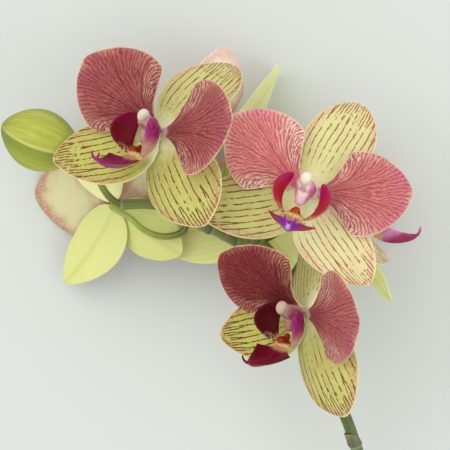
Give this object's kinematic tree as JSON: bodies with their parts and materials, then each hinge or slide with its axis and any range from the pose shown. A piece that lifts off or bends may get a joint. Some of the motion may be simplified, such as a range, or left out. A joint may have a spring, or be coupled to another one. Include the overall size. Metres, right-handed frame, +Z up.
{
  "type": "moth orchid stem",
  "caption": "Cut moth orchid stem lying on a surface, with open striped and veined flowers and a closed bud at the top of an arching stalk.",
  "frame": {"origin": "middle of the outline seen from above, on the surface that the stem lies on", "axes": "+Z up from the surface, +Y along the stem from its cut end to the flowers, +X across it"},
  "size_m": [0.2108, 0.3514, 0.1225],
  "materials": {
    "petal": "waxy, dark red forking veins on peach pink, cream edge",
    "sepal": "waxy, yellow green with broken red-brown stripes",
    "lip": "waxy, crimson to magenta with an orange-red callus",
    "column": "waxy, pinkish white",
    "pedicel": "smooth, light green",
    "stem": "smooth, dark grey green with paler joints",
    "bud": "waxy, yellow green, darker at its lower edge"
  },
  "bodies": {
    "root": {"stem": "stem", "bud": "bud", "bud_pedicel": "pedicel", "flower_a_dorsal_sepal": "sepal", "flower_a_left_sepal": "sepal", "flower_a_right_sepal": "sepal", "flower_a_left_petal": "petal", "flower_a_right_petal": "petal", "flower_a_lip": "lip", "flower_a_column": "column", "flower_a_pedicel": "pedicel", "flower_b_dorsal_sepal": "sepal", "flower_b_left_sepal": "sepal", "flower_b_right_sepal": "sepal", "flower_b_left_petal": "petal", "flower_b_right_petal": "petal", "flower_b_lip": "lip", "flower_b_column": "column", "flower_b_pedicel": "pedicel", "flower_c_dorsal_sepal": "sepal", "flower_c_left_sepal": "sepal", "flower_c_right_sepal": "sepal", "flower_c_left_petal": "petal", "flower_c_right_petal": "petal", "flower_c_lip": "lip", "flower_c_column": "column", "flower_c_pedicel": "pedicel", "flower_d_dorsal_sepal": "sepal", "flower_d_left_sepal": "sepal", "flower_d_right_sepal": "sepal", "flower_d_left_petal": "petal", "flower_d_right_petal": "petal", "flower_d_lip": "lip", "flower_d_column": "column", "flower_d_pedicel": "pedicel", "flower_e_dorsal_sepal": "sepal", "flower_e_left_sepal": "sepal", "flower_e_right_sepal": "sepal", "flower_e_left_petal": "petal", "flower_e_right_petal": "petal", "flower_e_lip": "lip", "flower_e_column": "column", "flower_e_pedicel": "pedicel", "flower_f_dorsal_sepal": "sepal", "flower_f_left_sepal": "sepal", "flower_f_right_sepal": "sepal", "flower_f_left_petal": "petal", "flower_f_right_petal": "petal", "flower_f_lip": "lip", "flower_f_column": "column", "flower_f_pedicel": "pedicel", "flower_g_dorsal_sepal": "sepal", "flower_g_left_sepal": "sepal", "flower_g_right_sepal": "sepal", "flower_g_left_petal": "petal", "flower_g_right_petal": "petal", "flower_g_lip": "lip", "flower_g_column": "column", "flower_g_pedicel": "pedicel"}
  },
  "joints": []
}
